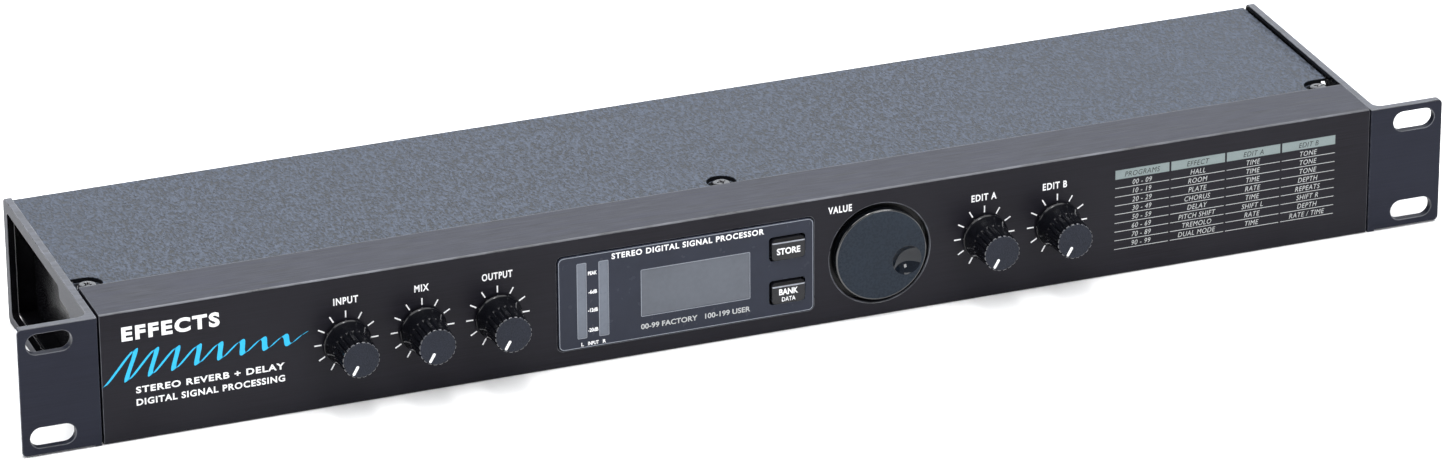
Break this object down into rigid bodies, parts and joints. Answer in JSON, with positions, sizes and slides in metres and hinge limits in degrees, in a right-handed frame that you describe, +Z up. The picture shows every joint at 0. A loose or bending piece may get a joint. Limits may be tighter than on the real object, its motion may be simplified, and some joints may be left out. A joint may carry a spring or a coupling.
{
  "type": "rack effects unit",
  "caption": "One-unit rack effects processor with rack ears, level and edit knobs, a finger-dimple value wheel, a display window with two push buttons, and rear jacks.",
  "frame": {"origin": "on the surface that the unit rests on, under the middle of its width and of its whole depth from the knobs to the jacks", "axes": "+X to the right of someone facing the front panel, +Y to the rear, +Z up"},
  "size_m": [0.4826, 0.116, 0.0443],
  "materials": {
    "panel_paint": "satin black paint on aluminium, brushed along its length",
    "ear_paint": "satin dark blue-grey, bright cut edges",
    "chassis_black": "gloss black",
    "cover_paint": "fine textured powder coat",
    "screw_steel": "black zinc with bright wear",
    "knob_plastic": "satin moulded",
    "wheel_plastic": "satin moulded",
    "lens_tint": "tinted window",
    "lcd_grey": "display glass",
    "meter_grey": "frosted light bar",
    "button_plastic": "satin moulded",
    "shaft_steel": "turned",
    "pot_blue": "moulded",
    "board_green": "solder mask",
    "chip_black": "moulded",
    "jack_black": "moulded",
    "nut_steel": "nickel plated"
  },
  "bodies": {
    "chassis": {"front_panel": "panel_paint", "left_rack_bracket": "ear_paint", "right_rack_bracket": "ear_paint", "chassis_floor": "chassis_black", "left_side_wall": "chassis_black", "right_side_wall": "chassis_black", "rear_panel": "chassis_black", "cover_rail": "chassis_black", "top_cover": "cover_paint", "cover_screw_front_left": "screw_steel", "cover_screw_front_middle": "screw_steel", "cover_screw_front_right": "screw_steel", "cover_screw_rear_left": "screw_steel", "cover_screw_rear_right": "screw_steel", "bracket_screw_left_lower": "screw_steel", "bracket_screw_left_upper": "screw_steel", "bracket_screw_right_lower": "screw_steel", "bracket_screw_right_upper": "screw_steel", "input_pot": "pot_blue", "mix_pot": "pot_blue", "output_pot": "pot_blue", "edit_a_pot": "pot_blue", "edit_b_pot": "pot_blue", "encoder_body": "pot_blue", "display_lens": "lens_tint", "lcd_module": "lcd_grey", "left_level_meter": "meter_grey", "right_level_meter": "meter_grey", "front_board": "board_green", "main_board": "board_green", "dsp_chip": "chip_black", "input_left_jack": "jack_black", "input_left_jack_nut": "nut_steel", "input_right_jack": "jack_black", "input_right_jack_nut": "nut_steel", "output_left_jack": "jack_black", "output_left_jack_nut": "nut_steel", "output_right_jack": "jack_black", "output_right_jack_nut": "nut_steel", "bypass_jack": "jack_black", "bypass_jack_nut": "nut_steel", "control_jack": "jack_black", "control_jack_nut": "nut_steel", "midi_in_socket": "jack_black", "midi_out_socket": "jack_black", "power_socket": "jack_black"},
    "input_knob": {"input_knob": "knob_plastic", "input_pot_shaft": "shaft_steel"},
    "mix_knob": {"mix_knob": "knob_plastic", "mix_pot_shaft": "shaft_steel"},
    "output_knob": {"output_knob": "knob_plastic", "output_pot_shaft": "shaft_steel"},
    "edit_a_knob": {"edit_a_knob": "knob_plastic", "edit_a_pot_shaft": "shaft_steel"},
    "edit_b_knob": {"edit_b_knob": "knob_plastic", "edit_b_pot_shaft": "shaft_steel"},
    "value_wheel": {"value_wheel": "wheel_plastic", "encoder_shaft": "shaft_steel"},
    "store_button": {"store_button": "button_plastic"},
    "bank_button": {"bank_button": "button_plastic"}
  },
  "joints": [
    {"name": "input_knob_turn", "type": "hinge", "parent": "chassis", "child": "input_knob", "pos_m": [-0.136, -0.043, 0.0219], "axis": [0, 1, 0], "range_deg": [0, 300]},
    {"name": "mix_knob_turn", "type": "hinge", "parent": "chassis", "child": "mix_knob", "pos_m": [-0.111, -0.043, 0.0219], "axis": [0, 1, 0], "range_deg": [0, 300]},
    {"name": "output_knob_turn", "type": "hinge", "parent": "chassis", "child": "output_knob", "pos_m": [-0.0861, -0.043, 0.0219], "axis": [0, 1, 0], "range_deg": [0, 300]},
    {"name": "edit_a_knob_turn", "type": "hinge", "parent": "chassis", "child": "edit_a_knob", "pos_m": [0.0791, -0.043, 0.0219], "axis": [0, 1, 0], "range_deg": [0, 300]},
    {"name": "edit_b_knob_turn", "type": "hinge", "parent": "chassis", "child": "edit_b_knob", "pos_m": [0.1045, -0.043, 0.0219], "axis": [0, 1, 0], "range_deg": [0, 300]},
    {"name": "value_wheel_turn", "type": "hinge", "parent": "chassis", "child": "value_wheel", "pos_m": [0.0429, -0.043, 0.0219], "axis": [0, 1, 0], "continuous": true},
    {"name": "store_button_press", "type": "slide", "parent": "chassis", "child": "store_button", "axis": [0, 1, 0], "range_m": [0, 0.0012], "stiffness_N_per_m": 300, "springref_m": -0.0008},
    {"name": "bank_button_press", "type": "slide", "parent": "chassis", "child": "bank_button", "axis": [0, 1, 0], "range_m": [0, 0.0012], "stiffness_N_per_m": 300, "springref_m": -0.0008}
  ]
}
